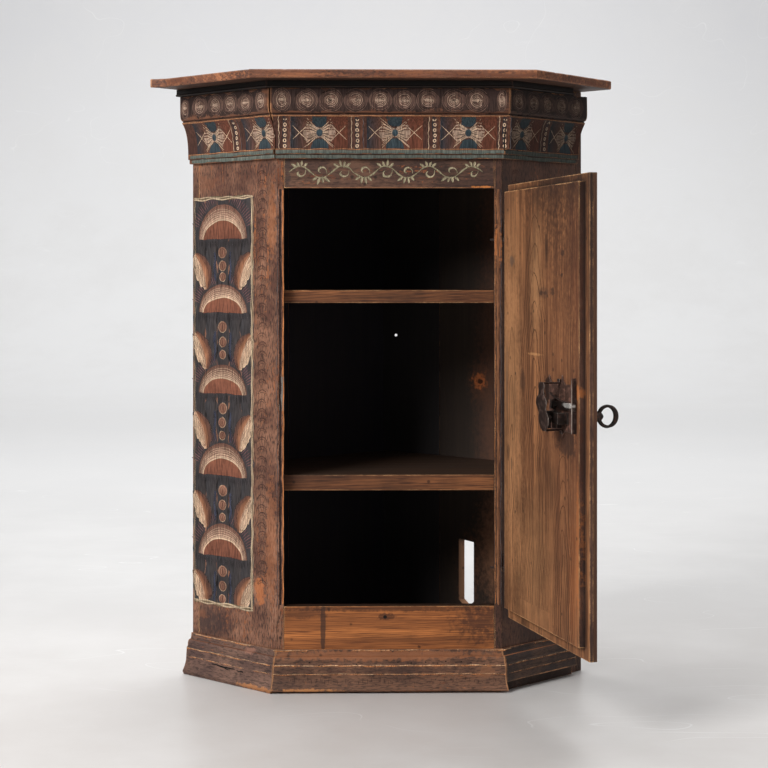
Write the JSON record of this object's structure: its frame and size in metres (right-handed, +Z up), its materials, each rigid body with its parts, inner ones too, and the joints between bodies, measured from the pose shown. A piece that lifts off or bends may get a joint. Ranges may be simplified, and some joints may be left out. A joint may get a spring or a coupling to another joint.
{
  "type": "corner cupboard",
  "caption": "Painted pine corner cupboard with canted sides, moulded cornice and plinth, two shelves, and one door on iron hooks with an open forged lock and key.",
  "frame": {"origin": "on the floor, under the middle of the bottom rail, 10 mm behind the front of the body", "axes": "+Z up, -Y out of the front, +X to the right seen from the front; the back walls meet at +Y"},
  "size_m": [0.694, 0.7576, 0.9],
  "materials": {
    "painted_side": "worn red-brown distemper with a painted panel of dark blue, pink and cream",
    "painted_trim": "painted bands in slate, red-brown, cream and grey-green, worn",
    "painted_frieze": "dark red-brown paint, worn to the wood at the edges",
    "dark_strip": "near-black paint, dull",
    "worn_pine": "pine with rubbed red-brown stain",
    "bare_pine": "bare aged pine",
    "forged_iron": "dark forged iron",
    "worn_iron": "iron rubbed bright"
  },
  "bodies": {
    "case": {"side_board_left": "painted_side", "side_board_right": "painted_side", "cornice_front": "painted_trim", "cornice_left": "painted_trim", "cornice_right": "painted_trim", "top_rail": "painted_frieze", "crown_strip_front": "dark_strip", "crown_strip_left": "dark_strip", "crown_strip_right": "dark_strip", "bottom_rail": "worn_pine", "plinth_front": "worn_pine", "plinth_left": "worn_pine", "plinth_right": "worn_pine", "top_board_front": "worn_pine", "top_board_rear": "worn_pine", "floor_board": "bare_pine", "lower_shelf": "bare_pine", "upper_shelf": "bare_pine", "back_plank_right_outer": "bare_pine", "back_plank_right_middle": "bare_pine", "back_plank_right_inner": "bare_pine", "back_plank_left_outer": "bare_pine", "back_plank_left_inner": "bare_pine", "hinge_hook_upper": "forged_iron", "hinge_hook_lower": "forged_iron", "strike_plate": "worn_iron"},
    "door": {"door_board": "bare_pine", "door_moulding_bottom": "painted_frieze", "door_moulding_hinge_side": "painted_frieze", "door_moulding_top": "painted_frieze", "door_moulding_lock_side": "painted_frieze", "hinge_strap_upper": "forged_iron", "hinge_strap_lower": "forged_iron", "escutcheon": "forged_iron", "lock_plate": "forged_iron", "bolt_staple": "forged_iron", "bolt_spring": "forged_iron", "lower_ward": "forged_iron", "upper_ward": "forged_iron", "lock_bridge": "forged_iron"},
    "bolt": {"lock_bolt": "worn_iron"},
    "key": {"key": "forged_iron"}
  },
  "joints": [
    {"name": "door_swing", "type": "hinge", "parent": "case", "child": "door", "pos_m": [0.1715, -0.01149, 0], "axis": [0, 0, 1], "range_deg": [-103.7, 65]},
    {"name": "key_turn", "type": "hinge", "parent": "door", "child": "key", "pos_m": [0.22361, -0.26742, 0.418], "axis": [0.9715, 0.2368, 0], "range_deg": [0, 360]},
    {"name": "bolt_slide", "type": "slide", "parent": "door", "child": "bolt", "axis": [0.2368, -0.9715, 0], "range_m": [0, 0.017]}
  ],
  "couplings": [
    {"joint": "bolt_slide", "follows": "key_turn", "m_per_rad": 0.0026897}
  ]
}
